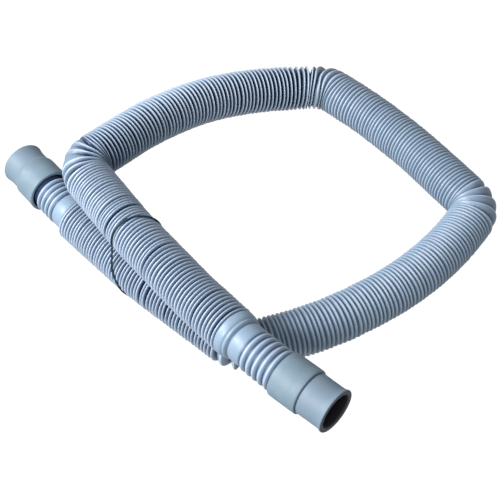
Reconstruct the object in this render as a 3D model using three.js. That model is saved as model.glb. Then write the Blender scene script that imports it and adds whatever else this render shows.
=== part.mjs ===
// Washing machine drain hose: one long extendable bellows hose, pushed fully together and
// laid in a loop, with a soft stepped cuff on each end and a thin tie round two of its runs.
// Millimetres, +Z up, the floor at Z = 0, +X along the drain end cuff towards its mouth.
import * as THREE from 'three';

// Bellows
const bellowsOD = 32;
const ribDepth = 5;
const wall = 1.0;
const foldedPitch = 2.8;
const openedPitch = 11;
const sides = 8;

// Moulded plain ends of the hose, from each cuff to the first groove of the bellows
const spigotOD = 24.8;
const neckOD = spigotOD + 1.4;
const coarseRootOD = spigotOD + 0.2;
const coarseRibOD = spigotOD + 2.8;
const machineRibPitch = 4.4;
const drainRibPitch = 4.55;
const machinePlainLength = 31.3;
const drainPlainLength = 43.8;

// Cuffs: a small tube with a flared lip, a step, and the sleeve that swallows the spigot
const cuffSides = 20;
const mouthBore = 22.4;
const fitGap = 0.35;
const sleeveBore = spigotOD / Math.cos(Math.PI / sides) + 2 * fitGap;
const machineCuffLength = 35;
const machineTubeLength = 15.5;
const machineTubeWall = 3.2;
const machineSleeveWall = 1.9;
const drainCuffLength = 39.5;
const drainTubeLength = 19.3;
const drainTubeWall = 2.5;
const drainSleeveWall = 1.25;
const lipRise = 0.8;

// Tie, and the place along X where it goes round both runs
const tieThickness = 1.2;
const tieAir = 0.1;
const tieGroove = 4.4;
const tieAlong = -27;
const tieSeatOD = bellowsOD - 2 * (tieThickness + tieAir + 0.2);

// Corners of the hose's centre line and the radius that rounds each one, from the machine
// end cuff's mouth to the drain end cuff's mouth. The large radii are the runs' gentle bows
// and the four small ones are the kinks where the hose was folded over. The first runs lie
// on the floor; the last one rests on the first.
const floorZ = bellowsOD / 2;
const upperZ = bellowsOD * 1.5 + 0.4;
const kink = 19;
const route = [
  [-152, -84, floorZ, 0],
  [-85, -95, floorZ, 400],
  [-20, -101.4, floorZ, 400],
  [68.5, -102, floorZ, kink],
  [96.7, -52.3, floorZ, 220],
  [113, 0, floorZ, 220],
  [117.5, 46, floorZ, 220],
  [112.5, 92, floorZ, kink],
  [45, 108, floorZ, 300],
  [0, 114.6, floorZ, 300],
  [-42, 116.2, floorZ, kink],
  [-73, 69, floorZ + 10, 190],
  [-88, 29.5, floorZ + 18.5, 190],
  [-94.6, -15.5, floorZ + 25.8, 240],
  [-95.5, -79.6, upperZ, kink],
  [-31, -96.1, upperZ, 300],
  [37, -108.4, upperZ + 0.3, 300],
  [100, -117.6, upperZ + 3.8, 300],
  [155.1, -117.6, upperZ + 3.8, 0],
];

// The centre line as closely spaced points, with each one's distance from the start.
const track = [];

function addPoint(p) {
  const last = track[track.length - 1];
  track.push({ s: last ? last.s + last.p.distanceTo(p) : 0, p });
}

function addCorner(before, corner, after, radius) {
  const arriving = corner.clone().sub(before).normalize();
  const leaving = after.clone().sub(corner).normalize();
  const turn = arriving.angleTo(leaving);
  const start = corner.clone().addScaledVector(arriving, -radius * Math.tan(turn / 2));
  const inward = leaving.addScaledVector(arriving, -Math.cos(turn)).normalize();
  const parts = Math.ceil(turn * radius * 2);
  for (let k = 0; k <= parts; k += 1) {
    const a = (turn * k) / parts;
    addPoint(start.clone()
      .addScaledVector(arriving, radius * Math.sin(a))
      .addScaledVector(inward, radius * (1 - Math.cos(a))));
  }
}

const corners = route.map(([x, y, z]) => new THREE.Vector3(x, y, z));
corners.forEach((corner, k) => {
  const radius = route[k][3];
  if (radius) addCorner(corners[k - 1], corner, corners[k + 1], radius);
  else addPoint(corner);
});
const hoseLength = track[track.length - 1].s;

function trackAt(s) {
  let low = 0;
  let high = track.length - 1;
  while (high - low > 1) {
    const mid = (low + high) >> 1;
    if (track[mid].s > s) high = mid;
    else low = mid;
  }
  const f = (s - track[low].s) / (track[high].s - track[low].s);
  return track[low].p.clone().lerp(track[high].p, f);
}

function frameAt(s) {
  const along = trackAt(s + 0.5).sub(trackAt(s - 0.5)).normalize();
  const across = new THREE.Vector3(0, 0, 1).cross(along).normalize();
  const up = along.clone().cross(across);
  return { p: trackAt(s), along, across, up };
}

function curvatureAt(s) {
  const a = Math.max(s - 2, 1);
  const b = Math.min(s + 2, hoseLength - 1);
  return frameAt(b).along.angleTo(frameAt(a).along) / (b - a);
}

// The distance at which the hose passes x, looking along it from one of its ends.
function whereX(x, from, step) {
  const side = Math.sign(trackAt(from).x - x);
  let s = from;
  while (Math.sign(trackAt(s).x - x) === side) s += step;
  return s;
}

// Distances along the hose. The spigots stop a little way past the cuffs' steps.
const spigotStop = 2.5;
const hoseStart = machineTubeLength + spigotStop;
const hoseEnd = hoseLength - drainTubeLength - spigotStop;
const bellowsStart = machineCuffLength + machinePlainLength;
const bellowsEnd = hoseLength - drainCuffLength - drainPlainLength;
const tiedAt = [whereX(tieAlong, 0, 0.05), whereX(tieAlong, hoseLength, -0.05)];

// A closed hollow skin: rings of flat sides along the hose's centre line, listed once round
// the wall's section, out along the outside and back through the bore.
function skin(stations, n) {
  const positions = [];
  const index = [];
  stations.forEach(({ s, d }) => {
    const { p, across, up } = frameAt(s);
    const r = d / 2 / Math.cos(Math.PI / n);
    for (let k = 0; k < n; k += 1) {
      const a = ((k + 0.5) / n) * Math.PI * 2;
      const v = p.clone()
        .addScaledVector(across, r * Math.cos(a))
        .addScaledVector(up, r * Math.sin(a));
      positions.push(v.x, v.y, v.z);
    }
  });
  const m = stations.length;
  for (let i = 0; i < m; i += 1) {
    const j = (i + 1) % m;
    for (let k = 0; k < n; k += 1) {
      const l = (k + 1) % n;
      index.push(i * n + k, i * n + l, j * n + k);
      index.push(i * n + l, j * n + l, j * n + k);
    }
  }
  const geometry = new THREE.BufferGeometry();
  geometry.setAttribute('position', new THREE.Float32BufferAttribute(positions, 3));
  geometry.setIndex(index);
  geometry.computeVertexNormals();
  return geometry;
}

// Coarse rounded ribs next to each cuff
function coarseRibs(first, count, pitch) {
  const list = [];
  for (let k = 0; k < count; k += 1) {
    const c = first + k * pitch;
    list.push({ s: c - pitch / 2, d: coarseRootOD });
    list.push({ s: c - pitch / 5, d: coarseRibOD });
    list.push({ s: c + pitch / 5, d: coarseRibOD });
  }
  list.push({ s: first + (count - 0.5) * pitch, d: coarseRootOD });
  return list;
}

// The folds that the tie presses down: two crests with a flat seat between them
function tieSeat(s) {
  const middle = s + tieGroove / 2;
  const half = tieThickness / 2 + 2.5 * tieAir;
  return [
    { s: middle - half - 0.5, d: bellowsOD },
    { s: middle - half, d: tieSeatOD },
    { s: middle + half, d: tieSeatOD },
    { s: middle + half + 0.5, d: bellowsOD },
  ];
}

// A fold is sharp while it is pushed together, and opens into a broad rounded band on the
// outside of a kink.
function fold(s, pitch) {
  const crest = { s: s + pitch / 2, d: bellowsOD };
  if (pitch < 1.5 * foldedPitch) return [crest];
  const shoulder = bellowsOD - 0.4 * ribDepth;
  return [{ s: s + pitch * 0.22, d: shoulder }, crest, { s: s + pitch * 0.78, d: shoulder }];
}

function bellows() {
  const root = bellowsOD - 2 * ribDepth;
  const seats = tiedAt.map((t) => t - tieGroove / 2);
  const stops = [...seats, bellowsEnd];
  const list = [];
  let s = bellowsStart;
  while (s < bellowsEnd - 0.1) {
    list.push({ s, d: root });
    const here = s;
    if (seats.some((t) => Math.abs(t - here) < 0.1)) {
      list.push(...tieSeat(s));
      s += tieGroove;
    } else {
      const left = stops.find((t) => t > here + 0.1) - s;
      const bend = Math.min(curvatureAt(s + foldedPitch / 2) * (bellowsOD / 2), 0.9);
      const free = Math.min(foldedPitch / (1 - bend), openedPitch / (1 + bend));
      const pitch = left < 1.5 * free ? left : free;
      list.push(...fold(s, pitch));
      s += pitch;
    }
  }
  list.push({ s: bellowsEnd, d: root });
  return list;
}

// Rings of the bore from one distance back to another, closer together in the bends
function boreStretch(from, to, d) {
  const list = [];
  let s = from;
  while (s > to + 4) {
    list.push({ s, d });
    const k = Math.max(curvatureAt(s), curvatureAt(Math.max(s - 12, 2)), 0.002);
    s -= Math.min(Math.max(Math.sqrt(1.6 / k), 6), 16);
  }
  list.push({ s: to, d });
  return list;
}

function bore() {
  const wide = spigotOD - 2 * wall;
  const narrow = bellowsOD - 2 * ribDepth - 2 * wall;
  return [
    ...boreStretch(hoseEnd, bellowsEnd + 3 * wall, wide),
    ...boreStretch(bellowsEnd + wall, bellowsStart - wall, narrow),
    ...boreStretch(bellowsStart - 3 * wall, hoseStart, wide),
  ];
}

function hose() {
  const machineRibs = machineCuffLength + machineRibPitch;
  const machineNeck = machineRibs + 3.5 * machineRibPitch + 1;
  const lastRib = hoseLength - drainCuffLength - 0.7 * drainRibPitch;
  const drainRibs = lastRib - 4 * drainRibPitch;
  const outer = [
    { s: hoseStart, d: spigotOD },
    { s: machineCuffLength + 0.1, d: spigotOD },
    ...coarseRibs(machineRibs, 4, machineRibPitch),
    { s: machineNeck, d: neckOD },
    { s: bellowsStart - 1, d: neckOD },
    ...bellows(),
    { s: bellowsEnd + 1.1, d: bellowsOD - 1 },
    { s: bellowsEnd + 6.8, d: bellowsOD - 1.6 },
    { s: bellowsEnd + 7.5, d: bellowsOD - 4 },
    { s: bellowsEnd + 8, d: bellowsOD - 2.8 },
    { s: bellowsEnd + 9, d: bellowsOD - 3 },
    { s: bellowsEnd + 9.8, d: coarseRootOD },
    { s: bellowsEnd + 10.4, d: coarseRootOD },
    { s: bellowsEnd + 11, d: neckOD },
    { s: drainRibs - 0.5 * drainRibPitch - 0.8, d: neckOD },
    ...coarseRibs(drainRibs, 5, drainRibPitch),
    { s: hoseLength - drainCuffLength - 0.1, d: spigotOD },
    { s: hoseEnd, d: spigotOD },
  ];
  return skin([...outer, ...bore()], sides);
}

// A cuff's section is listed as distance from the mouth and diameter. mouth is where the
// mouth lies along the hose and turn is +1 or -1, away from it.
function cuff(mouth, turn, section) {
  const list = section.map(([x, d]) => ({ s: mouth + turn * x, d }));
  return skin(turn > 0 ? list : list.reverse(), cuffSides);
}

// The inside of both cuffs: sleeve, step down to the mouth's bore, and a bevel at the mouth
const inside = (tubeLength, length) => [
  [length, sleeveBore],
  [tubeLength + spigotStop - 1, sleeveBore],
  [tubeLength + spigotStop - 3, mouthBore],
  [1.2, mouthBore],
  [0, mouthBore + 1.6],
];

function drainSection() {
  const tube = mouthBore + 2 * drainTubeWall;
  const lip = tube + 2 * lipRise;
  const sleeve = sleeveBore + 2 * drainSleeveWall;
  return [
    [0, lip - 0.8],
    [0.5, lip],
    [1.4, lip - 0.3],
    [3.6, tube],
    [drainTubeLength - 0.3, tube + 0.4],
    [drainTubeLength + 0.1, sleeve - 0.5],
    [drainTubeLength + 0.9, sleeve],
    [drainCuffLength - 0.6, sleeve],
    [drainCuffLength, sleeve - 0.8],
    ...inside(drainTubeLength, drainCuffLength),
  ];
}

// This cuff is the thicker of the two, and its sleeve flares towards its open end.
function machineSection() {
  const tube = mouthBore + 2 * machineTubeWall;
  const lip = tube + 2 * lipRise;
  const sleeve = sleeveBore + 2 * machineSleeveWall;
  return [
    [0, lip - 0.8],
    [0.5, lip],
    [1.6, lip - 0.2],
    [5, tube],
    [machineTubeLength - 2.5, tube],
    [machineTubeLength + 0.5, sleeve - 0.4],
    [machineTubeLength + 2.5, sleeve],
    [machineCuffLength - 6, sleeve],
    [machineCuffLength - 0.6, sleeve + 0.5],
    [machineCuffLength, sleeve - 0.2],
    ...inside(machineTubeLength, machineCuffLength),
  ];
}

// The tie's loop: down one side of the floor run, under it, up the other side and over the
// run on top, lying on the flats of the two seats.
function tie() {
  const rest = tieSeatOD / 2 + tieAir + tieThickness / 2;
  const [low, high] = tiedAt.map((s) => frameAt(s));
  const loop = [];
  const corner = (f, eighth, turn) => {
    const reach = eighth % 2 ? rest / Math.cos(Math.PI / sides) : rest;
    const a = turn * Math.PI * (eighth / 8);
    return f.p.clone()
      .addScaledVector(f.across, reach * Math.cos(a))
      .addScaledVector(f.up, reach * Math.sin(a));
  };
  for (let k = -1; k <= 9; k += 1) loop.push(corner(low, k, -1));
  for (let k = 9; k >= -1; k -= 1) loop.push(corner(high, k, 1));
  const n = 6;
  const positions = [];
  const index = [];
  const m = loop.length;
  const middle = low.p.clone().add(high.p).multiplyScalar(0.5);
  loop.forEach((p, i) => {
    const along = loop[(i + 1) % m].clone().sub(loop[(i + m - 1) % m]).normalize();
    const out = p.clone().sub(middle);
    out.addScaledVector(along, -out.dot(along)).normalize();
    const side = along.clone().cross(out);
    for (let k = 0; k < n; k += 1) {
      const a = (k / n) * Math.PI * 2;
      const v = p.clone()
        .addScaledVector(out, (tieThickness / 2) * Math.cos(a))
        .addScaledVector(side, (tieThickness / 2) * Math.sin(a));
      positions.push(v.x, v.y, v.z);
    }
  });
  for (let i = 0; i < m; i += 1) {
    const j = (i + 1) % m;
    for (let k = 0; k < n; k += 1) {
      const l = (k + 1) % n;
      index.push(i * n + k, j * n + k, i * n + l);
      index.push(i * n + l, j * n + k, j * n + l);
    }
  }
  const geometry = new THREE.BufferGeometry();
  geometry.setAttribute('position', new THREE.Float32BufferAttribute(positions, 3));
  geometry.setIndex(index);
  geometry.computeVertexNormals();
  return geometry;
}

// The signed volume tells which way round a skin's faces were listed.
function outward(geometry) {
  const p = geometry.attributes.position;
  const idx = geometry.index.array;
  const [a, b, c] = [new THREE.Vector3(), new THREE.Vector3(), new THREE.Vector3()];
  let volume = 0;
  for (let i = 0; i < idx.length; i += 3) {
    a.fromBufferAttribute(p, idx[i]);
    b.fromBufferAttribute(p, idx[i + 1]);
    c.fromBufferAttribute(p, idx[i + 2]);
    volume += a.dot(b.cross(c));
  }
  if (volume < 0) {
    for (let i = 0; i < idx.length; i += 3) {
      [idx[i + 1], idx[i + 2]] = [idx[i + 2], idx[i + 1]];
    }
    geometry.computeVertexNormals();
  }
  return geometry;
}

const hosePlastic = new THREE.MeshStandardMaterial({ color: 0xa9bccf, roughness: 0.4 });
const cuffRubber = new THREE.MeshStandardMaterial({ color: 0x93a9b3, roughness: 0.7 });
const tieVinyl = new THREE.MeshStandardMaterial({ color: 0x14393c, roughness: 0.6 });

const group = new THREE.Group();
group.name = 'washing_machine_drain_hose';

function add(name, geometry, material) {
  const mesh = new THREE.Mesh(outward(geometry), material);
  mesh.name = name;
  group.add(mesh);
}

add('drain_hose', hose(), hosePlastic);
add('machine_end_cuff', cuff(0, 1, machineSection()), cuffRubber);
add('drain_end_cuff', cuff(hoseLength, -1, drainSection()), cuffRubber);
add('tie_band', tie(), tieVinyl);

// Stand the whole loop with the middle of its bounding box over the origin.
const box = new THREE.Box3().setFromObject(group);
const centre = box.getCenter(new THREE.Vector3());
group.children.forEach((mesh) => mesh.geometry.translate(-centre.x, -centre.y, -box.min.z));

export default group;
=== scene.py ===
# %% [markdown]
# # A washing machine drain hose
#
# The object is one long extendable bellows hose, pushed fully together, laid in a loop on
# a pale floor and held by a thin tie, with a soft stepped cuff on each end. The ribs are
# what a viewer sees first, so they are real geometry, rounded and slightly uneven, and
# the materials only add what is left: satin plastic with painted shade in its grooves and
# a painted highlight on its crests, and matte rubber.

# %% Load the fixed frame
import math

import bmesh
import bpy
import numpy as np
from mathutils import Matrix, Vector


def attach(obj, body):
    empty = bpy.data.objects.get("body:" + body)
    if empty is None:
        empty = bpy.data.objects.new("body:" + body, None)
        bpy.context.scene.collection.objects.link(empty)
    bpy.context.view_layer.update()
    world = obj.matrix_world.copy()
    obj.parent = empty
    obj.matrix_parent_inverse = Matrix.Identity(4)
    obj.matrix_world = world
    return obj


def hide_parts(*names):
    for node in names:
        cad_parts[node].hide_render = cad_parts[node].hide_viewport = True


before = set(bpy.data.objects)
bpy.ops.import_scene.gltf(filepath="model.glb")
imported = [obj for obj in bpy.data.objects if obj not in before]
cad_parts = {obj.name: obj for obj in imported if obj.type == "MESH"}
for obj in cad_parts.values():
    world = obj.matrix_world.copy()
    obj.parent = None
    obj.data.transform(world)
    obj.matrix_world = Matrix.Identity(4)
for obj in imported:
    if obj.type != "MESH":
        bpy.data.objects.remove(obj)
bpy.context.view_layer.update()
MM = 0.001
print("CAD nodes:", sorted(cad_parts))

# %% [markdown]
# ## The camera
#
# The photograph looks down on the hose from the drain end cuff's side, at about 50
# degrees, through a longish lens. A lens is given to Blender in millimetres on a 36 mm
# wide sensor, so a focal length of 1300 pixels in a 500 pixel wide picture becomes
# 93.6 mm. The camera stands on a line through the point that it looks at.

# %% Camera
PICTURE_WIDTH = 500
FOCAL_PIXELS = 1300
AZIMUTH = math.radians(41.46)
ELEVATION = math.radians(50.4)
DISTANCE = 0.860
LOOK_AT = Vector((0.01936, -0.03774, 0.016))

view_direction = Vector(
    (
        -math.sin(AZIMUTH) * math.cos(ELEVATION),
        math.cos(AZIMUTH) * math.cos(ELEVATION),
        -math.sin(ELEVATION),
    )
)
camera_data = bpy.data.cameras.new("camera")
camera_data.sensor_width = 36.0
camera_data.lens = FOCAL_PIXELS / PICTURE_WIDTH * camera_data.sensor_width
camera = bpy.data.objects.new("camera", camera_data)
camera.location = LOOK_AT - view_direction * DISTANCE
camera.rotation_euler = view_direction.to_track_quat("-Z", "Y").to_euler()
bpy.context.scene.collection.objects.link(camera)
bpy.context.scene.camera = camera

# %% [markdown]
# ## The way the hose lies
#
# A hose is a fixed length that follows one smooth line. Here the line is a list of
# corners, each rounded to its own radius: large radii for the gentle bows of the runs and
# a small one for the four kinks where the hose was folded over. A freehand curve would do
# as well, but corners make it easy to keep the runs straight and the kinks tight, which
# is how a bellows hose really lies. The first runs lie on the floor, one radius up, and
# the last one rests on the first.

# %% Corners of the hose's line, in millimetres, with the radius that rounds each one
BELLOWS_OD = 32.0
FLOOR = BELLOWS_OD / 2
UPPER = BELLOWS_OD * 1.5 + 0.4
KINK = 19.0
FRAME_SHIFT = (-0.351, 0.438, 0.0)

route = [
    (-152, -84, FLOOR, 0),
    (-85, -95, FLOOR, 400),
    (-20, -101.4, FLOOR, 400),
    (68.5, -102, FLOOR, KINK),
    (96.7, -52.3, FLOOR, 220),
    (113, 0, FLOOR, 220),
    (117.5, 46, FLOOR, 220),
    (112.5, 92, FLOOR, KINK),
    (45, 108, FLOOR, 300),
    (0, 114.6, FLOOR, 300),
    (-42, 116.2, FLOOR, KINK),
    (-73, 69, FLOOR + 10, 190),
    (-88, 29.5, FLOOR + 18.5, 190),
    (-94.6, -15.5, FLOOR + 25.8, 240),
    (-95.5, -79.6, UPPER, KINK),
    (-31, -96.1, UPPER, 300),
    (37, -108.4, UPPER + 0.3, 300),
    (100, -117.6, UPPER + 3.8, 300),
    (155.1, -117.6, UPPER + 3.8, 0),
]

# %% [markdown]
# ## From corners to a measured line
#
# Everything on a hose is placed by how far along it lies, such as the next rib or the
# start of a cuff. So the line is sampled finely once, and its running length is kept
# beside it. At any distance the line then gives a position and three directions: along
# the hose, across it, and up.

# %% Sample the line


def unit(vectors):
    return vectors / np.linalg.norm(vectors, axis=-1, keepdims=True)


def rounded_line(corners, spacing=0.5):
    """Points along straight runs whose corners are rounded, each to its own radius."""
    places = [np.array(corner[:3], float) for corner in corners]
    points = [places[0]]
    for k in range(1, len(corners) - 1):
        radius = corners[k][3]
        arriving = unit(places[k] - places[k - 1])
        leaving = unit(places[k + 1] - places[k])
        turn = math.acos(arriving @ leaving)
        start = places[k] - arriving * radius * math.tan(turn / 2)
        inward = unit(leaving - arriving * math.cos(turn))
        for angle in np.linspace(0, turn, math.ceil(turn * radius / spacing) + 1):
            ahead = arriving * radius * math.sin(angle)
            points.append(start + ahead + inward * radius * (1 - math.cos(angle)))
    points.append(places[-1])
    return np.array(points)


line = rounded_line(route) + FRAME_SHIFT
gaps = np.linalg.norm(np.diff(line, axis=0), axis=1)
run_length = np.concatenate([[0.0], np.cumsum(gaps)])
HOSE_LENGTH = run_length[-1]
print("line from mouth to mouth:", round(HOSE_LENGTH, 1), "mm")


def point_at(distance):
    """Positions at these distances along the line."""
    distance = np.asarray(distance, float)
    return np.stack([np.interp(distance, run_length, line[:, k]) for k in range(3)], -1)


def directions_at(distance, reach=0.5):
    """Along, across and up at these distances; reach is how far the slope is taken over."""
    distance = np.asarray(distance, float)
    low = np.clip(distance - reach, 0, HOSE_LENGTH)
    high = np.clip(distance + reach, 0, HOSE_LENGTH)
    along = unit(point_at(high) - point_at(low))
    across = unit(np.cross([0.0, 0.0, 1.0], along))
    return along, across, np.cross(along, across)


def bend_at(distance, reach=2.0):
    """The curvature vector, which points to the inside of the bend, per millimetre."""
    distance = np.asarray(distance, float)
    low = np.clip(distance - reach, 1, HOSE_LENGTH - 1)
    high = np.clip(distance + reach, 1, HOSE_LENGTH - 1)
    turn = directions_at(high)[0] - directions_at(low)[0]
    return turn / (high - low)[..., None]


# %% [markdown]
# ## A skin of rings
#
# The hose and its cuffs are hollow bodies of one kind: rings of points round the line,
# each joined to the next, out along the outside and back through the bore. The mesh
# closes on itself like a very long doughnut. A revolved profile would do for the cuffs,
# but not for a hose that bends, so one helper serves both.

# %% Ring mesh helpers


def spokes_at(places, sides):
    """Unit vectors from the line to the points of each ring, and the points' angles. The
    places along the line are a column, one for each ring, or one for each point."""
    across, up = directions_at(places)[1:]
    angle = (np.arange(sides) + 0.5) / sides * 2 * math.pi
    return across * np.cos(angle)[:, None] + up * np.sin(angle)[:, None], angle


def ring_points(distances, radii, sides, slip=0.0):
    """Points of the rings. radii has a number for each ring, or one for each of its points,
    and slip is how much further along the hose's line each point lies than its ring."""
    radii = np.asarray(radii, float)
    if radii.ndim == 1:
        radii = np.repeat(radii[:, None], sides, axis=1)
    places = distances[:, None] + np.broadcast_to(slip, radii.shape)
    return point_at(places) + radii[..., None] * spokes_at(places, sides)[0]


def doughnut_mesh(name, rings, tints=None):
    """One closed mesh from rings of points, with an optional tint number on each point."""
    count, sides = rings.shape[:2]
    ring = np.arange(count)[:, None] * sides
    next_ring = (np.arange(count)[:, None] + 1) % count * sides
    here = np.arange(sides)[None, :]
    there = (here + 1) % sides
    quads = np.stack([ring + here, ring + there, next_ring + there, next_ring + here], -1)
    mesh = bpy.data.meshes.new(name)
    vertices = (rings.reshape(-1, 3) * MM).tolist()
    mesh.from_pydata(vertices, [], quads.reshape(-1, 4).tolist())
    if tints is not None:
        layer = mesh.attributes.new("groove", "FLOAT", "POINT")
        layer.data.foreach_set("value", np.asarray(tints, np.float32).reshape(-1))
    mesh.shade_smooth()
    piece = bpy.data.objects.new(name, mesh)
    bpy.context.scene.collection.objects.link(piece)
    print(name, "faces:", len(mesh.polygons))
    return piece


# %% [markdown]
# ## Where the folds fall
#
# Pushed together, the folds lie 2.5 to 3.1 mm apart: tightest beside the upper kink, and
# looser in the middle of the long runs. In each kink a few folds have popped open on the
# outside, each in its own way, and along the two tied runs a few grooves gape a little.
# These are read off the photograph as distances along the hose. A seeded random number
# then makes each step a little longer or shorter, because no real hose folds up evenly.

# %% Groove positions, in millimetres along the hose
MACHINE_CUFF_LENGTH = 35.0
DRAIN_CUFF_LENGTH = 39.5
BELLOWS_START = MACHINE_CUFF_LENGTH + 31.3
BELLOWS_END = HOSE_LENGTH - DRAIN_CUFF_LENGTH - 43.8

# How far apart the shut folds are, as pairs of a distance and the pitch there
FOLDED_PITCH = (
    (66, 2.50),
    (130, 2.65),
    (205, 2.84),
    (235, 3.00),
    (330, 2.90),
    (405, 2.60),
    (440, 2.68),
    (560, 2.90),
    (590, 2.85),
    (670, 3.10),
    (765, 2.67),
    (800, 2.45),
    (833, 2.45),
    (880, 2.75),
    (950, 2.99),
)
# The folds of each kink: the distance of the groove, how deep it is on the outside, the
# distance of the crest that follows, and how low that crest lies. A groove marked SHUT is
# given no depth, and gets one from how wide its fold is.
SHUT = math.nan
KINKS = (
    (
        (211.8, 4.2, 214.6, 0.0),
        (217.5, 5.2, 219.6, 0.0),
        (221.0, 3.0, 222.7, 0.0),
        (226.0, 2.4, 227.5, 0.0),
        (231.2, SHUT, 232.6, 0.0),
    ),
    (
        (410.5, 2.2, 413.9, 0.0),
        (415.0, 1.9, 420.0, 0.0),
        (421.3, 2.6, 425.8, 0.2),
        (427.0, 3.8, 431.6, 0.2),
        (433.0, SHUT, 434.4, 0.0),
    ),
    (
        (564.8, SHUT, 566.2, 0.0),
        (568.6, SHUT, 571.4, 0.0),
        (575.4, SHUT, 579.6, 0.0),
        (583.6, SHUT, 587.0, 0.0),
        (589.4, 5.4, 590.8, 0.4),
        (591.9, 3.6, 592.9, 0.6),
        (593.8, 6.0, 594.6, 0.0),
        (596.0, SHUT, 597.4, 0.0),
    ),
    (
        (776.0, 1.0, 779.8, 0.0),
        (781.2, 0.8, 784.6, 0.0),
        (786.0, 0.9, 790.0, 0.0),
        (791.4, 1.6, 793.8, 0.0),
        (795.0, SHUT, 796.2, 0.0),
    ),
)
# Grooves that gape a little, and how much, from 0 to 1; a gaping groove also gets more painted
# shade
GAPING_GROOVES = (
    (146.8, 0.7),
    (152.2, 0.4),
    (168.9, 0.7),
    (831.9, 0.9),
    (840.5, 1.0),
    (868.0, 0.1),
    (881.3, 0.1),
    (897.0, 0.4),
    (930.4, 0.3),
    (948.8, 0.4),
)
PITCH_SCATTER = 0.05
GAPE_SHARE = 0.18
uneven = np.random.default_rng(11)


def shut_grooves(low, high):
    """Grooves of a stretch of shut folds, between two grooves that are given."""
    where, pitch = np.array(FOLDED_PITCH).T
    count = round((high - low) / np.interp((low + high) / 2, where, pitch))
    place = low + (np.arange(count) + 0.5) / count * (high - low)
    step = np.interp(place, where, pitch) * (1 + PITCH_SCATTER * uneven.standard_normal(count))
    return (low + np.cumsum(step) * (high - low) / step.sum())[:-1]


def all_grooves():
    """A row for each fold: its groove, that groove's depth if it is given, the crest that
    follows and how low the crest lies. The last row is the end of the bellows."""
    rows = [(BELLOWS_START, SHUT, math.nan, 0.0)]
    for kink in (*KINKS, ((BELLOWS_END, SHUT, math.nan, 0.0),)):
        for distance in shut_grooves(rows[-1][0], kink[0][0]):
            rows.append((distance, SHUT, math.nan, 0.0))
        rows.extend(kink)
    folds = np.array(rows)
    middle = (folds[:-1, 0] + folds[1:, 0]) / 2
    folds[:-1, 2] = np.where(np.isnan(folds[:-1, 2]), middle, folds[:-1, 2])
    for gaping, wide in GAPING_GROOVES:
        nearest = int(np.abs(folds[:, 0] - gaping).argmin())
        if 0 < nearest < len(folds) - 1:
            folds[nearest, 0] = gaping
            for fold, away in ((nearest - 1, -GAPE_SHARE), (nearest, GAPE_SHARE)):
                start, end = folds[fold, 0], folds[fold + 1, 0]
                folds[fold, 2] = start + (0.5 + away * wide) * (end - start)
    return folds


folds = all_grooves()
print("ribs:", len(folds) - 1)

# %% [markdown]
# ## The tie's path
#
# A thin dark tie goes once round the floor run and the run that lies on it, aslant. Its
# path is a few stops, each an angle round one of the runs, a place along X and a distance
# from the run's middle. It has to be known before the bellows are made, because it presses
# a narrow trench into them.

# %% Stops of the tie: angle round the run in degrees, X and reach in millimetres
TIE_THICKNESS = 1.2
TIE_AIR = 0.1
TRENCH_FLAT = 0.6
TRENCH_SIDE = 1.1
FLOOR_RUN_STOPS = (
    (150, -32.0, 15.8),
    (180, -25.0, 15.9),
    (225, -18.5, 15.7),
    (270, -17.5, 15.2),
    (315, -18.5, 15.4),
    (368, -20.0, 15.6),
)
TOP_RUN_STOPS = (
    (-12, -19.0, 15.7),
    (0, -19.0, 15.9),
    (40, -21.2, 16.2),
    (90, -27.0, 16.0),
    (135, -29.0, 15.9),
    (192, -29.6, 15.7),
)


def distance_at_x(x, low, high):
    """Where the stretch of the line between two distances passes these places along X."""
    distance = np.linspace(low, high, 2000)
    return np.interp(x, point_at(distance)[:, 0], distance)


def tie_track(stops, low, high):
    """Angle round the run, distance along the hose and reach, in small steps."""
    angle, x, reach = np.array(stops).T
    turn = np.linspace(angle[0], angle[-1], 60)
    distance = distance_at_x(np.interp(turn, angle, x), low, high)
    return turn, distance, np.interp(turn, angle, reach)


floor_track = tie_track(FLOOR_RUN_STOPS, 60, 200)
top_track = tie_track(TOP_RUN_STOPS, 800, 940)


def tie_trench(places, angle, radii):
    """The radii of the rings, pressed in where the tie crosses them."""
    for turn, distance, reach in (floor_track, top_track):
        degrees = (np.degrees(angle) - turn[0]) % 360 + turn[0]
        crossing = np.interp(degrees, turn, distance, left=np.inf, right=np.inf)
        away = np.abs(places - crossing[None])
        under = np.interp(degrees, turn, reach) - TIE_THICKNESS / 2 - TIE_AIR
        rise = np.clip((away - TRENCH_FLAT) / TRENCH_SIDE, 0, 1) ** 2
        limit = under + (BELLOWS_OD / 2 - under) * rise
        radii = np.minimum(radii, limit)
    return radii


# %% [markdown]
# ## How the ribs fan out in a kink
#
# The ribs beside a kink stay square to their own run and open like a fan, so on the
# outside of the bend they lie at another distance along the hose than on its side. Each
# kink lists a few pairs of those two distances. Rings square to the bent line would be
# simpler, but they spread the ribs evenly round the bend, and a folded hose never does.

# %% The fan of each kink
# First how far round the hose the side is, from -1 on the inside of the bend to 1 on the
# outside, then the pairs: the distance there, and the distance on the outside.
OUTSIDE_OF_KINKS = (
    (0.0, (205, 205), (235, 235)),
    (
        0.0,
        (405, 405),
        (410.5, 413.2),
        (415, 418),
        (421.3, 423.7),
        (427, 430.5),
        (433, 434.6),
        (438, 438),
    ),
    (
        -0.85,
        (549, 549),
        (557, 556.4),
        (566.2, 563.2),
        (571.4, 565.6),
        (579.6, 568.0),
        (587, 570.6),
        (589.4, 573.6),
        (590.8, 578.4),
        (591.9, 580.8),
        (592.9, 582.0),
        (593.8, 584.8),
        (594.6, 587.6),
        (600, 595.5),
        (606, 604.5),
        (610, 610),
    ),
    (0.0, (765, 765), (776, 771.5), (785, 781), (790.3, 788.5), (794.6, 792), (802, 802)),
)
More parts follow.
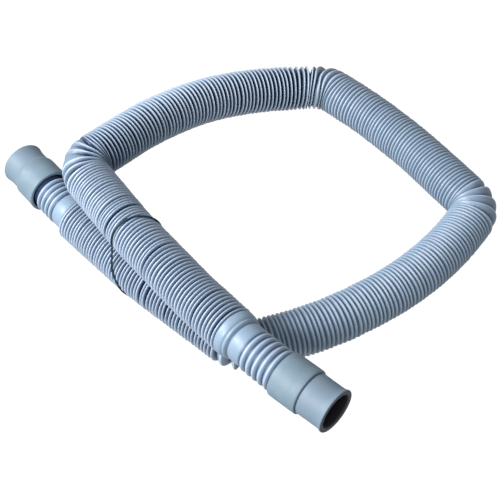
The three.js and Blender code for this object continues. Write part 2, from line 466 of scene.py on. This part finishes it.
# The second distance holds where a point faces outward by OUTER_FACING. Further out the
# slip grows to MOST_SLIP times that, and past the side it grows at INSIDE_SLIP of the rate.
OUTER_FACING = 0.9
MOST_SLIP = 1.1
INSIDE_SLIP = 0.35
KINK_MARGIN = 8


def kink_slip(distances, spoke):
    """How much further along each point lies than its ring, because the ribs stay square to
    their run, and how much each point is on the outside of a kink, from -1 to 1."""
    slip = np.zeros(spoke.shape[:2])
    outside = np.zeros(spoke.shape[:2])
    for side_facing, *pairs in OUTSIDE_OF_KINKS:
        side, outer = np.array(pairs, float).T
        outward = -unit(bend_at([(side[0] + side[-1]) / 2])[0])
        facing = spoke @ outward
        shift = np.interp(distances, side, outer - side)[:, None]
        share = (facing - side_facing) / (OUTER_FACING - side_facing)
        slip += shift * np.where(share > 0, np.minimum(share, MOST_SLIP), INSIDE_SLIP * share)
        near = (distances > side[0] - KINK_MARGIN) & (distances < side[-1] + KINK_MARGIN)
        outside += near[:, None] * facing
    return slip, outside


# %% [markdown]
# ## The rings of a fold
#
# A shut fold is drawn with six rings and an open one with fourteen, because an open fold
# shows its round band. How wide a fold is differs round the hose, and it is measured for
# every point as the gap between its two grooves. Even rings all along would be simpler,
# but they would waste most of their points on walls that nobody sees.

# %% Rings of the folds
HOSE_SIDES = 44
OPEN_PITCH = 3.6
SHUT_STEPS = np.array([-1.0, -0.72, -0.34, 0.0, 0.34, 0.72])
OPEN_STEPS = np.array(
    [-1, -0.88, -0.72, -0.54, -0.36, -0.2, -0.08, 0, 0.08, 0.2, 0.36, 0.54, 0.72, 0.88]
)


def fold_rings():
    """For each ring of the bellows: its distance, its fold's number, and its step, which
    runs from -1 in one groove over 0 on the crest to 1 in the next groove."""
    rings = []
    is_open = ~np.isnan(folds[:, 1]) | (np.diff(folds[:, 0], append=0) > OPEN_PITCH)
    for number, (start, end) in enumerate(zip(folds[:, 0], folds[1:, 0])):
        crest = folds[number, 2]
        for step in OPEN_STEPS if is_open[number] else SHUT_STEPS:
            flank = crest - start if step < 0 else end - crest
            rings.append((crest + step * flank, number, step))
    distances, number, step = np.array(rings).T
    return distances, number.astype(int), step


def fold_widths():
    """For each fold and each point round it, the gap between its two grooves."""
    grooves = folds[:, 0]
    slip = kink_slip(grooves, spokes_at(grooves[:, None], HOSE_SIDES)[0])[0]
    edge = ring_points(grooves, np.full(len(folds), BELLOWS_OD / 2), HOSE_SIDES, slip)
    return np.linalg.norm(np.diff(edge, axis=0), axis=-1)


# %% [markdown]
# ## The shape and the shade of a fold
#
# A fold is two walls that meet in a crest, and the walls keep their length. So a shut
# fold is narrow and deep, and one that has opened on the outside of a kink is wide and
# shallow. On the inside of a kink the folds are squeezed flat against each other, and
# their grooves close. Each point also gets a tint number, from 0 on a crest with a painted
# highlight to 1 in a groove with painted shade, which the material turns into a colour.
# Ambient occlusion could find the grooves by itself, but it would not paint the highlight
# on the crests.

# %% How the folds change along the hose, as pairs of a distance and a value
# How dark the painted shade in the grooves is: the runs at the right and back right are paler
FOLD_SHADE = (
    (66, 1.05),
    (205, 1.05),
    (240, 0.46),
    (400, 0.38),
    (583, 0.52),
    (593, 0.72),
    (600, 1.1),
    (700, 1.1),
    (770, 1.35),
    (800, 1.08),
    (950, 1.08),
)
# How much of the painted highlight on the crests is left out
CREST_HIGHLIGHT_LOSS = (
    (66, 0.0),
    (205, 0.0),
    (240, 0.19),
    (400, 0.19),
    (560, 0.08),
    (592, 0.0),
    (690, 0.0),
    (770, 0.12),
    (800, 0.0),
)
# How deep the grooves are: the runs at the right and back right are shallower
FOLD_DEPTH = ((66, 1.0), (205, 1.0), (240, 0.38), (584, 0.44), (600, 1.0), (950, 1.0))

# %% Fold profile, in millimetres
FOLD_WALL = 5.5
LEAST_WIDTH = 0.5
MOST_WIDTH = 10.0
CREST_AIR = 0.1
LEAST_DEPTH = 0.2
# Where a change starts as a fold grows wider, and how many millimetres it takes
UNSQUEEZED = (0.2, 1.9)
UNCROWDED = (1.0, 1.5)
OPENING = (3.8, 4.0)
# The same as a groove grows deeper
SHARPER = (4.6, 1.2)
DARKER = (0.6, 2.4)
# How far past the side of a kink, towards its inside, the depths given for it still reach
OUTSIDE_EDGE = 0.35
# How much the crests swell, how far the folds tilt, and a slow wander of that tilt
SWELL = 0.08
TILT = 0.12
WANDER = 0.3
WANDER_LENGTH = 17.0

# %% Tint numbers of a plain wall, of crowded folds, and of an open fold's band and groove
WALL_TINT = 0.3
CROWDED_TINT = 0.4
BAND_TINT = 0.38
BAND_SHADE = 0.45


def progress(values, start, span, least=0.0):
    """How far values have come from start along span, kept between least and 1."""
    return np.clip((values - start) / span, least, 1)


def along_hose(pairs, distances):
    """The value at each distance, as a column."""
    return np.interp(distances, *np.array(pairs).T)[:, None]


def smooth_over_folds(values, reach=2):
    """The mean of each fold and its neighbours."""
    padded = np.pad(values, ((reach, reach), (0, 0)), mode="edge")
    return sum(padded[k : k + len(values)] for k in range(2 * reach + 1)) / (2 * reach + 1)


def fold_drops(distances, number, step, width, squeeze, opened, outside):
    """How far each point lies under the crests, and how deep its groove is. A groove whose
    depth is given has it on the outside of its kink."""
    run_depth = along_hose(FOLD_DEPTH, distances)
    depth = np.sqrt(FOLD_WALL**2 - (width / 2) ** 2) * run_depth
    share = np.clip(outside + OUTSIDE_EDGE, 0, 1)
    given = folds[number + (step > 0), 1][:, None]
    depth = np.where(np.isnan(given), depth, depth + (given - depth) * share) * squeeze
    low = folds[number, 3][:, None] * share
    sharp = np.where(np.isnan(given), 0, share * progress(given, *SHARPER))
    # A higher power makes the crest rounder and the groove narrower.
    power = 1.9 - 0.5 * run_depth + 0.2 * opened - 0.4 * sharp
    return low + np.maximum(depth - low, LEAST_DEPTH) * np.abs(step)[:, None] ** power, depth


def fold_tints(distances, from_crest, uncrowded, opened, depth):
    """The tint of each point. Shut folds run evenly from a painted highlight on the crest to
    painted shade in their grooves, and open ones are plain bands with a thin painted
    highlight on the crest and painted shade in deep grooves."""
    gaping, wide = np.array(GAPING_GROOVES).T
    # Full within 0.4 mm of a gaping groove, and gone 1.8 mm away
    near = np.clip(1.3 - np.abs(distances[:, None] - gaping) / 1.4, 0, 1)
    gape = (near * wide).max(1)[:, None]
    highlight_loss = along_hose(CREST_HIGHLIGHT_LOSS, distances)
    shade = along_hose(FOLD_SHADE, distances)
    # Painted shade from the crest into the groove, scaled by the run's shade and deeper in a
    # gaping groove; the run's highlight loss takes away part of the painted highlight on the
    # crest
    shut = highlight_loss + (1 - highlight_loss) * from_crest**1.25 * shade * (1 + 0.6 * gape)
    shut = CROWDED_TINT + (shut - CROWDED_TINT) * uncrowded
    # An open fold: a thin painted highlight line on its crest, and painted shade in its groove
    # that grows with the groove's depth
    dark = BAND_SHADE * progress(depth, *DARKER, least=0.1)
    band = BAND_TINT * progress(from_crest, 0, 0.18) + dark * from_crest**5
    return np.clip(shut + (band - shut) * opened, 0, 1)


def bellows_rings():
    """Distances, radii, slips and tints of the rings of the bellows."""
    distances, number, step = fold_rings()
    from_crest = np.abs(step)[:, None]
    spoke, angle = spokes_at(distances[:, None], HOSE_SIDES)
    slip, outside = kink_slip(distances, spoke)
    widths = fold_widths()
    squeeze = smooth_over_folds(progress(widths, *UNSQUEEZED, least=0.1))[number]
    uncrowded = smooth_over_folds(progress(widths, *UNCROWDED))[number]
    width = np.clip(widths, LEAST_WIDTH, MOST_WIDTH)[number]
    opened = progress(width, *OPENING)
    drop, depth = fold_drops(distances, number, step, width, squeeze, opened, outside)

    swell = SWELL * uneven.standard_normal(len(widths))
    crest_radius = BELLOWS_OD / 2 - CREST_AIR
    radii = crest_radius - drop + swell[number][:, None] * (1 - from_crest)
    tilt = TILT * uneven.standard_normal((len(widths), 2))
    wander = np.sin(distances / WANDER_LENGTH) * WANDER
    lean = (tilt[number, 0] + wander)[:, None] * np.cos(angle)
    lean = lean + (tilt[number, 1] - wander)[:, None] * np.sin(angle)
    slip = slip + lean * (1 - opened) * np.clip(squeeze * 2 - 1, 0, 1)
    radii = tie_trench(distances[:, None] + slip, angle, np.minimum(radii, BELLOWS_OD / 2))
    return distances, radii, slip, fold_tints(distances, from_crest, uncrowded, opened, depth)


# %% [markdown]
# ## The moulded ends
#
# At each end the bellows stop and the hose goes on as a plain neck with a few coarse
# rounded ribs, then as a thin spigot that is hidden in the cuff. The drain end also has
# a conical shoulder with a bead. These shapes are listed as distance and diameter.

# %% End profiles
MACHINE_TUBE_LENGTH = 15.5
DRAIN_TUBE_LENGTH = 19.3
SPIGOT_STOP = 2.5
SPIGOT_OD = 24.8
NECK_OD = 26.2
COARSE_RIB_OD = 27.6
COARSE_ROOT_OD = 24.6
MACHINE_RIB_PITCH = 4.4
DRAIN_RIB_PITCH = 4.55
BORE_IN_BELLOWS = 20.0
BORE_IN_SPIGOT = 22.8
BORE_STEP = 6.0


def coarse_ribs(first, count, pitch):
    """Distance and diameter through a few rounded ribs, from root to root."""
    outline = []
    for k in range(count):
        for phase in np.linspace(-0.5, 0.5, 11)[: 11 if k == count - 1 else 10]:
            height = (0.5 + 0.5 * math.cos(2 * math.pi * phase)) ** 0.9
            diameter = COARSE_ROOT_OD + (COARSE_RIB_OD - COARSE_ROOT_OD) * height
            outline.append((first + (k + phase) * pitch, diameter))
    return outline


machine_ribs = MACHINE_CUFF_LENGTH + MACHINE_RIB_PITCH
machine_neck = machine_ribs + 3.5 * MACHINE_RIB_PITCH
machine_end = [
    (MACHINE_TUBE_LENGTH + SPIGOT_STOP, SPIGOT_OD - 1),
    (MACHINE_TUBE_LENGTH + SPIGOT_STOP + 0.5, SPIGOT_OD),
    (MACHINE_CUFF_LENGTH + 0.1, SPIGOT_OD),
    *coarse_ribs(machine_ribs, 4, MACHINE_RIB_PITCH),
    (machine_neck + 0.5, COARSE_ROOT_OD + 0.1),
    (machine_neck + 0.9, NECK_OD - 0.5),
    (machine_neck + 1.5, NECK_OD),
    (BELLOWS_START - 3.0, NECK_OD),
    (BELLOWS_START - 1.3, NECK_OD - 0.1),
    (BELLOWS_START - 0.8, NECK_OD - 0.8),
    (BELLOWS_START - 0.4, NECK_OD - 2.2),
]
last_rib = -DRAIN_CUFF_LENGTH - 0.7 * DRAIN_RIB_PITCH
drain_ribs = last_rib - 4 * DRAIN_RIB_PITCH
drain_neck = drain_ribs - 0.5 * DRAIN_RIB_PITCH
shoulder = BELLOWS_END - HOSE_LENGTH
drain_end = [
    (shoulder + 0.0, 24.0),
    (shoulder + 0.5, 28.4),
    (shoulder + 0.9, 30.4),
    (shoulder + 1.4, 31.1),
    (shoulder + 2.2, 31.2),
    (shoulder + 4.5, 30.9),
    (shoulder + 6.2, 30.3),
    (shoulder + 6.7, 29.6),
    (shoulder + 7.1, 28.6),
    (shoulder + 7.4, 28.3),
    (shoulder + 7.7, 28.7),
    (shoulder + 8.2, 29.3),
    (shoulder + 8.8, 29.2),
    (shoulder + 9.2, 28.4),
    (shoulder + 9.5, 26.8),
    (shoulder + 9.8, 25.4),
    (shoulder + 10.3, 25.1),
    (shoulder + 10.6, 25.8),
    (shoulder + 11.2, 26.4),
    (shoulder + 12.4, 26.7),
    (shoulder + 16.0, 26.6),
    (drain_neck - 1.6, 26.2),
    (drain_neck - 0.7, 25.8),
    *coarse_ribs(drain_ribs, 5, DRAIN_RIB_PITCH),
    (-DRAIN_CUFF_LENGTH - 0.1, SPIGOT_OD),
    (-DRAIN_TUBE_LENGTH - SPIGOT_STOP - 0.5, SPIGOT_OD),
    (-DRAIN_TUBE_LENGTH - SPIGOT_STOP, SPIGOT_OD - 1),
]

# %% [markdown]
# ## The hose, put together
#
# The outside runs from the machine end through the bellows to the drain end, and the
# bore runs back. The bore only has to follow the bends, so its rings are far apart.

# %% Build the hose


def end_tint(outline):
    """Tints of a moulded end: a plain wall, with painted shade in the roots and a painted
    highlight on the ribs.
    """
    diameter = outline[:, 1:]
    # Painted shade where the diameter falls below the neck
    tint = WALL_TINT + 0.4 * progress(NECK_OD - 0.2 - diameter, 0, 1.5)
    # Painted highlight on the tops of the coarse ribs
    return tint - 0.12 * (np.abs(diameter - COARSE_RIB_OD) < 0.4)


def hose_piece():
    """The hose, and how far along the line each ring of its outside lies."""
    middle, middle_radii, middle_slip, middle_tints = bellows_rings()
    head = np.array(machine_end)
    tail = np.array(drain_end) + [HOSE_LENGTH, 0]
    outside = np.concatenate([head[:, 0], middle, tail[:, 0]])
    back = np.append(np.arange(tail[-1, 0], head[0, 0], -BORE_STEP), head[0, 0])
    in_bellows = (back > BELLOWS_START - 1) & (back < BELLOWS_END + 1)
    bore = np.where(in_bellows, BORE_IN_BELLOWS, BORE_IN_SPIGOT)
    all_round = np.ones((1, HOSE_SIDES))
    radii = np.vstack(
        [
            head[:, 1:] / 2 * all_round,
            middle_radii,
            tail[:, 1:] / 2 * all_round,
            bore[:, None] / 2 * all_round,
        ]
    )
    tints = np.vstack(
        [
            end_tint(head) * all_round,
            middle_tints,
            end_tint(tail) * all_round,
            # The bore gets tint 1, the painted groove shade
            np.ones((len(back), HOSE_SIDES)),
        ]
    )
    slip = np.zeros_like(radii)
    slip[len(head) : len(head) + len(middle)] = middle_slip
    rings = ring_points(np.append(outside, back), radii, HOSE_SIDES, slip)
    return doughnut_mesh("bellows_hose", rings, tints), outside


hose, outside_distances = hose_piece()

# %% [markdown]
# ## The cuffs
#
# Both cuffs are soft rubber sleeves: a flared lip, a smaller tube, a step, and a larger
# sleeve that swallows the end of the hose. A moulded rubber edge is never sharp, so each
# corner is two or three rings close together. The step on the drain end has a fine
# groove at its foot, which shows as a dark line: part real groove, part painted shade.
# The front ring of each mouth and the inside of each cuff are painted dark as shade.

# %% Build the cuffs
CUFF_SIDES = 72
MOUTH_BORE = 22.4
SLEEVE_BORE = 27.5
DRAIN_TUBE_OD = 27.4
DRAIN_LIP_OD = 29.0
DRAIN_SLEEVE_OD = 30.0
MACHINE_TUBE_OD = 28.8
MACHINE_LIP_OD = 30.4
MACHINE_SLEEVE_OD = 31.3
TUBE_TINT = 0.25
# Tint numbers for painted shade in the step's groove and on the mouth's front ring
STEP_TINT = 0.62
FRONT_TINT = 0.82


def cuff_inside(tube_length, cuff_length):
    """The inner half of a cuff's outline, from its open end back to the mouth."""
    step = tube_length + SPIGOT_STOP
    return [
        (cuff_length, SLEEVE_BORE + 0.6),
        (cuff_length - 0.4, SLEEVE_BORE),
        (step - 1, SLEEVE_BORE),
        (step - 3, MOUTH_BORE),
        (6.0, MOUTH_BORE),
        (1.6, MOUTH_BORE),
        (0.7, MOUTH_BORE + 0.3),
        (0.25, MOUTH_BORE + 0.9),
        (0.0, MOUTH_BORE + 1.8),
    ]


drain_outline = [
    (0.0, DRAIN_LIP_OD - 1.5),
    (0.12, DRAIN_LIP_OD - 0.8),
    (0.4, DRAIN_LIP_OD - 0.2),
    (0.8, DRAIN_LIP_OD),
    (1.3, DRAIN_LIP_OD - 0.2),
    (1.9, DRAIN_LIP_OD - 0.7),
    (2.7, DRAIN_TUBE_OD + 0.45),
    (3.8, DRAIN_TUBE_OD + 0.1),
    (5.5, DRAIN_TUBE_OD),
    (12.0, DRAIN_TUBE_OD + 0.1),
    (DRAIN_TUBE_LENGTH - 0.9, DRAIN_TUBE_OD + 0.4),
    (DRAIN_TUBE_LENGTH - 0.6, DRAIN_TUBE_OD + 0.2),
    (DRAIN_TUBE_LENGTH - 0.4, DRAIN_TUBE_OD - 0.6),
    (DRAIN_TUBE_LENGTH + 0.1, DRAIN_TUBE_OD - 0.6),
    (DRAIN_TUBE_LENGTH + 0.15, DRAIN_SLEEVE_OD - 1.0),
    (DRAIN_TUBE_LENGTH + 0.4, DRAIN_SLEEVE_OD - 0.35),
    (DRAIN_TUBE_LENGTH + 0.9, DRAIN_SLEEVE_OD),
    (DRAIN_TUBE_LENGTH + 3.0, DRAIN_SLEEVE_OD),
    (DRAIN_CUFF_LENGTH - 4.0, DRAIN_SLEEVE_OD),
    (DRAIN_CUFF_LENGTH - 0.9, DRAIN_SLEEVE_OD - 0.1),
    (DRAIN_CUFF_LENGTH - 0.3, DRAIN_SLEEVE_OD - 0.5),
    (DRAIN_CUFF_LENGTH, DRAIN_SLEEVE_OD - 1.2),
    *cuff_inside(DRAIN_TUBE_LENGTH, DRAIN_CUFF_LENGTH),
]
machine_outline = [
    (0.0, MACHINE_LIP_OD - 1.2),
    (0.2, MACHINE_LIP_OD - 0.4),
    (0.6, MACHINE_LIP_OD),
    (1.3, MACHINE_LIP_OD - 0.1),
    (2.6, MACHINE_LIP_OD - 0.7),
    (5.0, MACHINE_TUBE_OD + 0.2),
    (8.0, MACHINE_TUBE_OD),
    (MACHINE_TUBE_LENGTH - 3.0, MACHINE_TUBE_OD),
    (MACHINE_TUBE_LENGTH - 1.6, MACHINE_TUBE_OD + 0.4),
    (MACHINE_TUBE_LENGTH, MACHINE_SLEEVE_OD - 0.8),
    (MACHINE_TUBE_LENGTH + 1.2, MACHINE_SLEEVE_OD - 0.1),
    (MACHINE_TUBE_LENGTH + 3.0, MACHINE_SLEEVE_OD),
    (MACHINE_CUFF_LENGTH - 9.0, MACHINE_SLEEVE_OD - 0.1),
    (MACHINE_CUFF_LENGTH - 3.0, MACHINE_SLEEVE_OD + 0.3),
    (MACHINE_CUFF_LENGTH - 0.7, MACHINE_SLEEVE_OD + 0.6),
    (MACHINE_CUFF_LENGTH - 0.2, MACHINE_SLEEVE_OD + 0.3),
    (MACHINE_CUFF_LENGTH, MACHINE_SLEEVE_OD - 0.4),
    *cuff_inside(MACHINE_TUBE_LENGTH, MACHINE_CUFF_LENGTH),
]


def cuff_piece(name, outline, mouth, turn, tube_length, lip, groove_below):
    """A cuff whose mouth is at this distance. turn is 1 where the hose goes on from it and
    -1 where it comes to it. The tint is 0 on the sleeve, TUBE_TINT on the tube, STEP_TINT
    for painted shade in a groove at the step, FRONT_TINT for painted shade on the front
    ring, and 1 for painted shade inside, which is where the diameter is below groove_below."""
    shape = np.array(outline)
    if turn < 0:
        shape = shape[::-1]
    rings = ring_points(mouth + turn * shape[:, 0], shape[:, 1] / 2, CUFF_SIDES)
    distance, diameter = shape.T
    tint = np.where(distance < tube_length, TUBE_TINT, 0.0)
    # Tint 1 is painted shade inside the cuff; the step and front tints below are painted shade
    # too
    tint = np.where(diameter < groove_below, 1.0, tint)
    at_step = (np.abs(distance - tube_length) < 0.5) & (diameter < groove_below)
    tint = np.where(at_step, STEP_TINT, tint)
    at_front = (distance < 0.3) & (diameter < lip - 0.7)
    tint = np.where(at_front, FRONT_TINT, tint)
    return doughnut_mesh(name, rings, np.repeat(tint[:, None], CUFF_SIDES, axis=1))


machine_cuff = cuff_piece(
    "machine_end_cuff_rubber",
    machine_outline,
    mouth=0.0,
    turn=1,
    tube_length=MACHINE_TUBE_LENGTH,
    lip=MACHINE_LIP_OD,
    groove_below=MACHINE_TUBE_OD - 1,
)
drain_cuff = cuff_piece(
    "drain_end_cuff_rubber",
    drain_outline,
    mouth=HOSE_LENGTH,
    turn=-1,
    tube_length=DRAIN_TUBE_LENGTH,
    lip=DRAIN_LIP_OD,
    groove_below=DRAIN_TUBE_OD - 0.3,
)
for cuff in (machine_cuff, drain_cuff):
    cuff.data.set_sharp_from_angle(angle=math.radians(50))

# %% [markdown]
# ## The tie
#
# The tie follows its stops: half round the floor run, straight up, over the run on top
# and straight down again. Its middle line is spaced out evenly, and a thin tube of rings
# goes along it and closes on itself.

# %% Build the tie
TIE_SIDES = 12
TIE_RINGS = 180


def tie_line():
    """The middle line of the tie, once round both runs."""
    points = []
    for turn, distance, reach in (floor_track, top_track):
        across, up = directions_at(distance, reach=4.0)[1:]
        angle = np.radians(turn)[:, None]
        outward = across * np.cos(angle) + up * np.sin(angle)
        points.append(point_at(distance) + reach[:, None] * outward)
    return np.vstack(points)


def tie_piece():
    """The tie as a closed tube of rings, spaced evenly along its middle line."""
    corners = tie_line()
    closed = np.vstack([corners, corners[:1]])
    gaps = np.linalg.norm(np.diff(closed, axis=0), axis=1)
    covered = np.concatenate([[0], np.cumsum(gaps)])
    even = np.linspace(0, covered[-1], TIE_RINGS + 1)[:-1]
    middle = np.stack([np.interp(even, covered, closed[:, k]) for k in range(3)], -1)
    along = unit(np.roll(middle, -1, 0) - np.roll(middle, 1, 0))
    out = middle - middle.mean(0)
    out = unit(out - along * (out * along).sum(-1, keepdims=True))
    side = np.cross(along, out)
    angle = np.arange(TIE_SIDES) / TIE_SIDES * 2 * math.pi
    spoke = out[:, None] * np.cos(angle)[None, :, None]
    spoke = spoke + side[:, None] * np.sin(angle)[None, :, None]
    return doughnut_mesh("wire_tie", middle[:, None] + spoke * TIE_THICKNESS / 2)


tie = tie_piece()

# %% [markdown]
# ## Facing outward
#
# The rings were listed in whatever order was easy, so the faces may look inward. Blender
# can turn them all the right way round at once.

# %% Turn the faces outward
for piece in (hose, machine_cuff, drain_cuff, tie):
    shell = bmesh.new()
    shell.from_mesh(piece.data)
    bmesh.ops.recalc_face_normals(shell, faces=shell.faces)
    shell.to_mesh(piece.data)
    shell.free()

# %% [markdown]
# ## Each piece takes the place of a CAD solid
#
# Each new piece takes the place of the CAD solid of the same thing and rides on the one
# body.

for piece, node, slot in (
    (hose, "drain_hose", "hose_plastic"),
    (machine_cuff, "machine_end_cuff", "cuff_rubber"),
    (drain_cuff, "drain_end_cuff", "cuff_rubber"),
    (tie, "tie_band", "tie_vinyl"),
):
    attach(piece, "root")
    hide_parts(node)

# %% [markdown]
# ## Materials
#
# The hose is a satin blue-grey polypropylene. Its grooves are darkened with painted shade,
# and its crests are lightened with a painted highlight. The groove number stored on each
# point, 0 on a crest, 0.3 on a plain wall and 1 in a groove, tells the material where it
# is, so the painted shade and highlight follow the folds exactly.

# %% Material helpers


def new_material(name):
    """A material with its node tree, its links and its main shader."""
    material = bpy.data.materials.new(name)
    material.use_nodes = True
    tree = material.node_tree
    return material, tree.nodes, tree.links, tree.nodes["Principled BSDF"]


def noise(nodes, links, scale, detail=3.0):
    """Noise that is fixed to the object, with scale in blobs a metre."""
    place = nodes.new("ShaderNodeTexCoord")
    texture = nodes.new("ShaderNodeTexNoise")
    texture.inputs["Scale"].default_value = scale
    texture.inputs["Detail"].default_value = detail
    links.new(place.outputs["Object"], texture.inputs["Vector"])
    return texture


def blend(nodes, links, factor, first, second):
    """Two colours mixed by a factor; each is a colour or another node's socket."""
    mix = nodes.new("ShaderNodeMix")
    mix.data_type = "RGBA"
    sockets = (mix.inputs[0], mix.inputs[6], mix.inputs[7])
    for socket, value in zip(sockets, (factor, first, second)):
        if isinstance(value, bpy.types.NodeSocket):
            links.new(value, socket)
        else:
            socket.default_value = value
    return mix.outputs[2]


def ramp(nodes, links, source, stops):
    """A colour ramp on a number, between two (position, grey) stops."""
    node = nodes.new("ShaderNodeValToRGB")
    links.new(source, node.inputs["Fac"])
    for element, (position, grey) in zip(node.color_ramp.elements, stops):
        element.position = position
        element.color = (grey, grey, grey, 1)
    return node.outputs["Color"]


def cloudy(nodes, links, scale, first, second):
    """A colour that drifts softly between two, in clouds."""
    cloud = noise(nodes, links, scale)
    drift = ramp(nodes, links, cloud.outputs["Fac"], [(0.35, 0.0), (0.65, 1.0)])
    return blend(nodes, links, drift, first, second)


def groove_number(nodes):
    """The number that the mesh stores on each of its points."""
    stored = nodes.new("ShaderNodeAttribute")
    stored.attribute_name = "groove"
    return stored.outputs["Fac"]


def patchy_roughness(nodes, links, shader, scale, low, high):
    """A roughness that wanders between two values."""
    patches = noise(nodes, links, scale)
    rough = ramp(nodes, links, patches.outputs["Fac"], [(0.3, low), (0.7, high)])
    links.new(rough, shader.inputs["Roughness"])


def grain(nodes, links, shader, scale, strength):
    """A fine moulded grain, as bump a tenth of a millimetre high."""
    fine = noise(nodes, links, scale, 2.0)
    node = nodes.new("ShaderNodeBump")
    node.inputs["Strength"].default_value = strength
    node.inputs["Distance"].default_value = 0.1 * MM
    links.new(fine.outputs["Fac"], node.inputs["Height"])
    links.new(node.outputs["Normal"], shader.inputs["Normal"])


# %% Hose plastic
# A painted highlight colour for the crests and a painted shade colour for the grooves and the
# bore, around the hose's own colour and its cloudy paler tone
HOSE_CREST_HIGHLIGHT = (0.40, 0.475, 0.600, 1)
HOSE_COLOUR = (0.168, 0.238, 0.322, 1)
HOSE_PALE = (0.188, 0.266, 0.350, 1)
HOSE_GROOVE_SHADE = (0.012, 0.027, 0.082, 1)

hose_plastic, nodes, links, shader = new_material("hose_plastic")
fold = groove_number(nodes)
body = cloudy(nodes, links, 55.0, HOSE_COLOUR, HOSE_PALE)
# Painted highlight towards a crest, and painted shade towards a groove
crest_highlight = ramp(nodes, links, fold, [(0.03, 1.0), (0.30, 0.0)])
shaded = ramp(nodes, links, fold, [(0.30, 0.0), (0.66, 1.0)])
wall = blend(nodes, links, crest_highlight, body, HOSE_CREST_HIGHLIGHT)
links.new(blend(nodes, links, shaded, wall, HOSE_GROOVE_SHADE), shader.inputs["Base Color"])
patchy_roughness(nodes, links, shader, 320.0, 0.36, 0.46)
grain(nodes, links, shader, 1500.0, 0.04)
hose.data.materials.append(hose_plastic)

# %% [markdown]
# ## Rubber and vinyl
#
# The cuffs are a matte thermoplastic rubber, a shade greener and darker than the hose,
# with a faint cloudiness and a fine moulded grain. The tie is coated wire, nearly black
# with a teal cast.

# %% Cuff rubber
RUBBER_COLOUR = (0.117, 0.172, 0.216, 1)
RUBBER_CLOUD = (0.132, 0.192, 0.240, 1)
RUBBER_TUBE = (0.124, 0.175, 0.228, 1)
# The inside of each cuff is painted near black as shade
RUBBER_INSIDE_SHADE = (0.013, 0.009, 0.017, 1)

cuff_rubber, nodes, links, shader = new_material("cuff_rubber")
place = groove_number(nodes)
body = cloudy(nodes, links, 90.0, RUBBER_COLOUR, RUBBER_CLOUD)
on_tube = ramp(nodes, links, place, [(0.0, 0.0), (TUBE_TINT, 1.0)])
# Painted shade: the step and front tints and the inside blend towards the near-black inside
# colour
inside = ramp(nodes, links, place, [(TUBE_TINT, 0.0), (1.0, 1.0)])
outside = blend(nodes, links, on_tube, body, RUBBER_TUBE)
links.new(blend(nodes, links, inside, outside, RUBBER_INSIDE_SHADE), shader.inputs["Base Color"])
patchy_roughness(nodes, links, shader, 400.0, 0.52, 0.62)
grain(nodes, links, shader, 2400.0, 0.2)
for cuff in (machine_cuff, drain_cuff):
    cuff.data.materials.append(cuff_rubber)

# %% Tie vinyl
TIE_COLOUR = (0.004, 0.018, 0.028, 1)
TIE_WORN = (0.010, 0.034, 0.046, 1)

tie_vinyl, nodes, links, shader = new_material("tie_vinyl")
worn = noise(nodes, links, 300.0).outputs["Fac"]
links.new(blend(nodes, links, worn, TIE_COLOUR, TIE_WORN), shader.inputs["Base Color"])
shader.inputs["Roughness"].default_value = 0.55
shader.inputs["Specular IOR Level"].default_value = 0.2
grain(nodes, links, shader, 3000.0, 0.2)
tie.data.materials.append(tie_vinyl)

# %% [markdown]
# ## Floor and light
#
# The photograph is a studio cut-out: white all round, light from the left, and no shadow
# at all. A floor that glows evenly, as a product photographer's light table does, gives
# that, and it is left out of the object's own light. One softbox stands on the left and
# one nearer to the camera, and together they model the ribs. A dim sky fills the rest.

# %% Floor, in metres
FLOOR_SIZE = 6.0
FLOOR_LEVEL = -0.0002

floor_mesh = bpy.data.meshes.new("floor")
half = FLOOR_SIZE / 2
corners = [(x * half, y * half, FLOOR_LEVEL) for x, y in ((-1, -1), (1, -1), (1, 1), (-1, 1))]
floor_mesh.from_pydata(corners, [], [(0, 1, 2, 3)])
floor = bpy.data.objects.new("floor", floor_mesh)
bpy.context.scene.collection.objects.link(floor)

floor_paint, nodes, links, shader = new_material("floor_glow")
drift = noise(nodes, links, 3.0).outputs["Fac"]
links.new(
    blend(nodes, links, drift, (0.99, 0.99, 0.99, 1), (1.0, 1.0, 1.0, 1)),
    shader.inputs["Emission Color"],
)
shader.inputs["Emission Strength"].default_value = 1.05
shader.inputs["Base Color"].default_value = (0.02, 0.02, 0.02, 1)
shader.inputs["Specular IOR Level"].default_value = 0.0
shader.inputs["Roughness"].default_value = 1.0
floor_mesh.materials.append(floor_paint)
floor.visible_diffuse = False
floor.visible_glossy = False

# %% Lights


def softbox(name, direction, power, distance=1.3, size=0.6):
    """A square white light that looks at the hose from this direction."""
    data = bpy.data.lights.new(name, "AREA")
    data.size = size
    data.energy = power
    lamp = bpy.data.objects.new(name, data)
    direction = Vector(direction).normalized()
    lamp.location = LOOK_AT + direction * distance
    lamp.rotation_euler = (-direction).to_track_quat("-Z", "Y").to_euler()
    bpy.context.scene.collection.objects.link(lamp)


picture_right = Vector((math.cos(AZIMUTH), math.sin(AZIMUTH), 0))
picture_back = Vector((-math.sin(AZIMUTH), math.cos(AZIMUTH), 0))
overhead = Vector((0, 0, 1))

softbox("left_softbox", -picture_right + overhead * 0.7, power=21)
softbox("front_softbox", -picture_right - picture_back + overhead, power=17)

sky = bpy.data.worlds.new("sky")
sky.use_nodes = True
sky.node_tree.nodes["Background"].inputs["Color"].default_value = (1, 1, 1, 1)
sky.node_tree.nodes["Background"].inputs["Strength"].default_value = 0.57
bpy.context.scene.world = sky
bpy.context.scene.view_settings.view_transform = "Standard"
